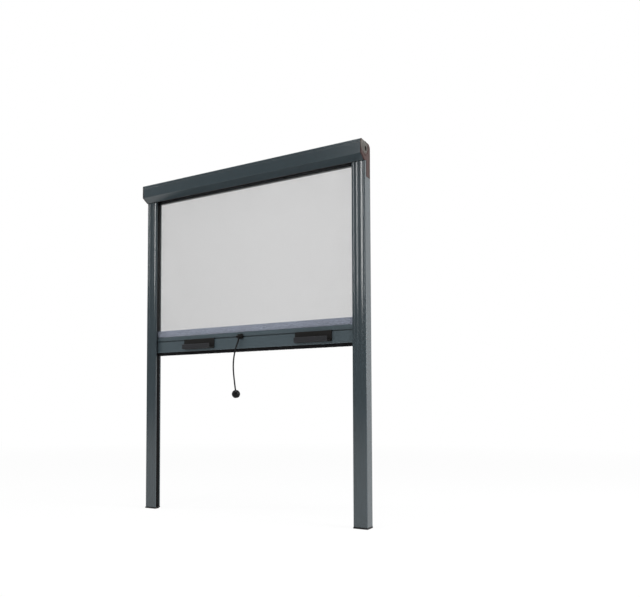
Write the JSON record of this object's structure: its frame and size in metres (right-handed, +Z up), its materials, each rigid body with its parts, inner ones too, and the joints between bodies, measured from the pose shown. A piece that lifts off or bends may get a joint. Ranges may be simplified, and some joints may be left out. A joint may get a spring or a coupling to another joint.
{
  "type": "roller insect screen for a window",
  "caption": "Roller insect screen: a cassette with a sprung mesh roller, guide rails with brush seals, and a pull bar with handles and a cord.",
  "frame": {"origin": "under the middle of the frame, at the level of the foot caps' undersides", "axes": "+X to the right seen from the front (the handle side), +Y to the rear, +Z up"},
  "size_m": [0.522, 0.042, 0.71],
  "materials": {
    "anthracite_aluminium": "anthracite grey powder coat, satin",
    "bare_aluminium": "mill finish",
    "steel": "bright drawn",
    "brown_plastic": "moulded, brown, satin",
    "black_plastic": "moulded, black, satin",
    "brush_pile": "black woven pile",
    "insect_mesh": "coated glass fibre mesh, grey",
    "woven_hem": "grey woven tape",
    "soft_plastic": "extruded, dark grey",
    "braided_cord": "black braid",
    "ball_plastic": "moulded, black"
  },
  "bodies": {
    "frame": {"cassette_profile": "anthracite_aluminium", "left_guide_rail": "anthracite_aluminium", "right_guide_rail": "anthracite_aluminium", "idler_pin": "steel", "spring_shaft": "steel", "torsion_spring": "steel", "left_end_cap": "brown_plastic", "right_end_cap": "brown_plastic", "left_foot_cap": "black_plastic", "right_foot_cap": "black_plastic", "cassette_brush": "brush_pile", "left_front_brush": "brush_pile", "right_front_brush": "brush_pile", "left_rear_brush": "brush_pile", "right_rear_brush": "brush_pile", "insect_mesh": "insect_mesh"},
    "roller": {"roller_tube": "bare_aluminium", "roller_left_plug": "black_plastic", "roller_right_plug": "black_plastic", "mesh_roll": "insect_mesh"},
    "bar": {"pull_bar": "anthracite_aluminium", "bar_brush": "brush_pile", "left_bar_slide": "black_plastic", "right_bar_slide": "black_plastic", "mesh_hem": "woven_hem", "hem_spline": "soft_plastic", "left_handle": "black_plastic", "right_handle": "black_plastic", "cord_hook": "black_plastic", "pull_cord": "braided_cord", "cord_ball": "ball_plastic"}
  },
  "joints": [
    {"name": "bar_slide", "type": "slide", "parent": "frame", "child": "bar", "axis": [0, 0, 1], "range_m": [-0.325, 0.282], "deforming": ["insect_mesh"]},
    {"name": "roller_spin", "type": "hinge", "parent": "frame", "child": "roller", "pos_m": [0, -0.0023, 0.696], "axis": [1, 0, 0], "range_deg": [-1730, 1502]}
  ],
  "couplings": [
    {"joint": "roller_spin", "follows": "bar_slide", "rad_per_m": 92.593}
  ]
}
